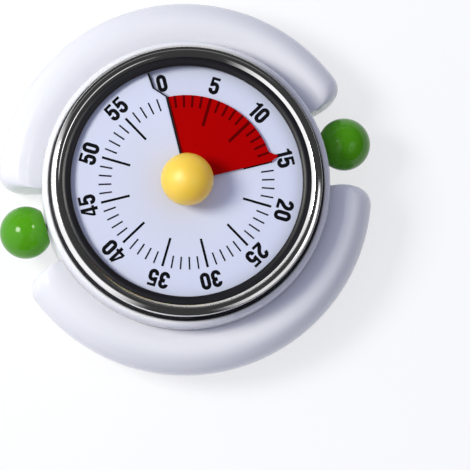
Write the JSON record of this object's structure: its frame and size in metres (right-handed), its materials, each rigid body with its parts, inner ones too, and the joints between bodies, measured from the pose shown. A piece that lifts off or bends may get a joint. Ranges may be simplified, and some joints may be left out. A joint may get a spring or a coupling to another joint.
{
  "type": "visual kitchen timer",
  "caption": "Round wind-up kitchen timer with a ball knob, a coloured time disc that comes out of a slit in the dial, curved grips and side balls",
  "frame": {"origin": "middle of the flat back face, which the timer lies on", "axes": "+Z out of the dial towards the viewer, +Y towards the 0 mark, +X towards the 15 mark, beside the right ball"},
  "size_m": [0.1056, 0.1032, 0.0417],
  "materials": {
    "white_plastic": "glossy white moulding",
    "inner_plastic": "plain white moulding",
    "dial_white": "pale blue-white, printed black",
    "black_plastic": "satin black",
    "time_red": "deep red film",
    "knob_yellow": "satin yellow",
    "ball_green": "glossy green",
    "chrome": "bright plated",
    "brass": "stamped and turned",
    "steel": "turned",
    "nickel": "nickel plated"
  },
  "bodies": {
    "case": {"back_cover": "white_plastic", "back_magnet_1": "nickel", "back_magnet_2": "nickel", "back_magnet_3": "nickel", "chrome_bezel": "chrome", "cover_screw_1": "steel", "cover_screw_2": "steel", "cover_screw_3": "steel", "dial_carrier": "inner_plastic", "dial_plate": "dial_white", "dial_surround": "black_plastic", "drum_housing": "white_plastic", "front_bush": "brass", "front_plate": "brass", "gong": "nickel", "gong_post": "steel", "gong_screw": "steel", "grip_screw_1": "steel", "grip_screw_2": "steel", "grip_screw_3": "steel", "grip_screw_4": "steel", "hammer_spring": "steel", "left_ball": "ball_green", "left_ball_screw": "steel", "lower_grip_arc": "white_plastic", "mainspring": "steel", "movement_screw_1": "steel", "movement_screw_2": "steel", "movement_screw_3": "steel", "pillar_1": "brass", "pillar_2": "brass", "pillar_3": "brass", "pillar_nut_1": "steel", "pillar_nut_2": "steel", "pillar_nut_3": "steel", "rear_bush": "brass", "rear_plate": "brass", "right_ball": "ball_green", "right_ball_screw": "steel", "spring_barrel": "steel", "upper_grip_arc": "white_plastic"},
    "winding": {"knob": "knob_yellow", "knob_insert": "brass", "disc_hub": "inner_plastic", "main_arbor": "steel", "great_wheel": "brass", "ratchet_wheel": "steel", "strike_cam": "steel"},
    "disc": {"time_disc": "time_red"},
    "click_body": {"click": "steel"},
    "second": {"second_pinion": "steel", "second_wheel": "brass"},
    "third": {"third_pinion": "steel", "third_wheel": "brass"},
    "escape": {"escape_pinion": "steel", "escape_wheel": "brass"},
    "pallet": {"pallet_lever": "steel", "pallet_arbor": "steel"},
    "hammer_body": {"hammer": "steel", "hammer_arbor": "steel"}
  },
  "joints": [
    {"name": "knob_turn", "type": "hinge", "parent": "case", "child": "winding", "pos_m": [0, 0, 0.03453], "axis": [0, 0, -1], "range_deg": [-90, 270]},
    {"name": "disc_lift", "type": "slide", "parent": "winding", "child": "disc", "axis": [0, 0, 1], "range_m": [-0.00051, 0.00151]},
    {"name": "second_turn", "type": "hinge", "parent": "case", "child": "second", "pos_m": [-0.0168, 0, 0.0142], "axis": [0, 0, -1], "range_deg": [-1620, 540]},
    {"name": "third_turn", "type": "hinge", "parent": "case", "child": "third", "pos_m": [-0.01302, 0.01165, 0.0142], "axis": [0, 0, -1], "range_deg": [-3240, 9720]},
    {"name": "escape_turn", "type": "hinge", "parent": "case", "child": "escape", "pos_m": [-0.00315, 0.01604, 0.0142], "axis": [0, 0, -1], "range_deg": [-48600, 16200]},
    {"name": "pallet_swing", "type": "hinge", "parent": "case", "child": "pallet", "pos_m": [0.00045, 0.02228, 0.0142], "axis": [0, 0, -1], "range_deg": [-6, 6]},
    {"name": "hammer_swing", "type": "hinge", "parent": "case", "child": "hammer_body", "pos_m": [0.018, 0.006, 0.0142], "axis": [0, 0, -1], "range_deg": [0, 12], "stiffness_Nm_per_rad": 0.0005, "springref_deg": -11.46},
    {"name": "click_lift", "type": "hinge", "parent": "winding", "child": "click_body", "pos_m": [-0.00425, -0.00736, 0.009], "axis": [0, 0, 1], "range_deg": [0, 12], "stiffness_Nm_per_rad": 0.00002, "springref_deg": -11.46}
  ],
  "couplings": [
    {"joint": "disc_lift", "follows": "knob_turn", "m_per_rad": 0.00031831},
    {"joint": "second_turn", "follows": "knob_turn", "ratio": -6},
    {"joint": "third_turn", "follows": "knob_turn", "ratio": 36},
    {"joint": "escape_turn", "follows": "knob_turn", "ratio": -180}
  ]
}
